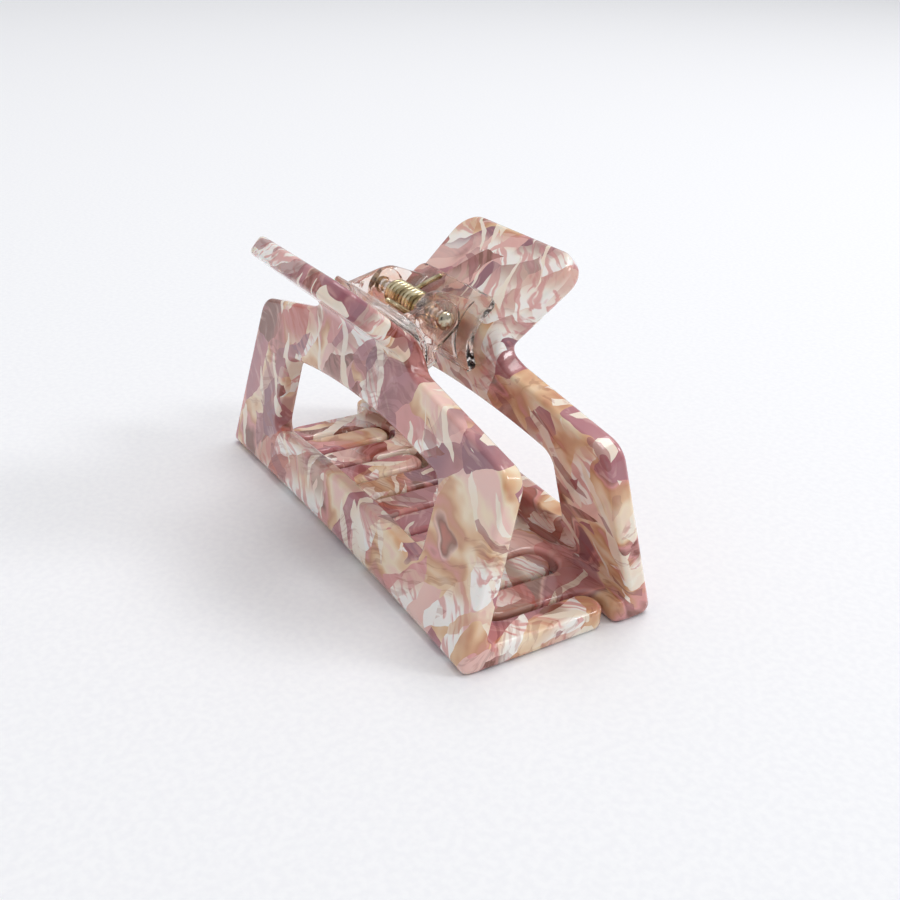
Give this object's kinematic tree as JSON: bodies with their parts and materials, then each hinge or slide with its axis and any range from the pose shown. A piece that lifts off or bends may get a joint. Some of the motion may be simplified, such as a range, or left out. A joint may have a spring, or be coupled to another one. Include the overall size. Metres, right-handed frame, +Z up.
{
  "type": "hair claw clip",
  "caption": "Spring-loaded claw clip: two bent sheet jaws with interleaving teeth, windowed sides and flared finger handles on a clear hinge.",
  "frame": {"origin": "centre of the clip's overall box, on the plane its teeth rest on", "axes": "+X along the hinge pin towards the domed pin head, +Y from the near jaw to the far jaw, +Z up"},
  "size_m": [0.0878, 0.0438, 0.0489],
  "materials": {
    "acetate": "glossy marbled acetate in mauve pink, cream, tan and rust",
    "clear_plastic": "clear, faintly peach moulded plastic",
    "brass_wire": "drawn wire",
    "bronze": "polished"
  },
  "bodies": {
    "near_jaw": {"jaw_near": "acetate", "bracket_near": "clear_plastic", "hinge_pin": "bronze", "spring": "brass_wire"},
    "far_jaw": {"jaw_far": "acetate", "bracket_far": "clear_plastic"}
  },
  "joints": [
    {"name": "jaw_hinge", "type": "hinge", "parent": "near_jaw", "child": "far_jaw", "pos_m": [0, 0, 0.0391], "axis": [1, 0, 0], "range_deg": [0, 75], "stiffness_Nm_per_rad": 0.15, "springref_deg": -57.3, "deforming": ["spring"]}
  ]
}
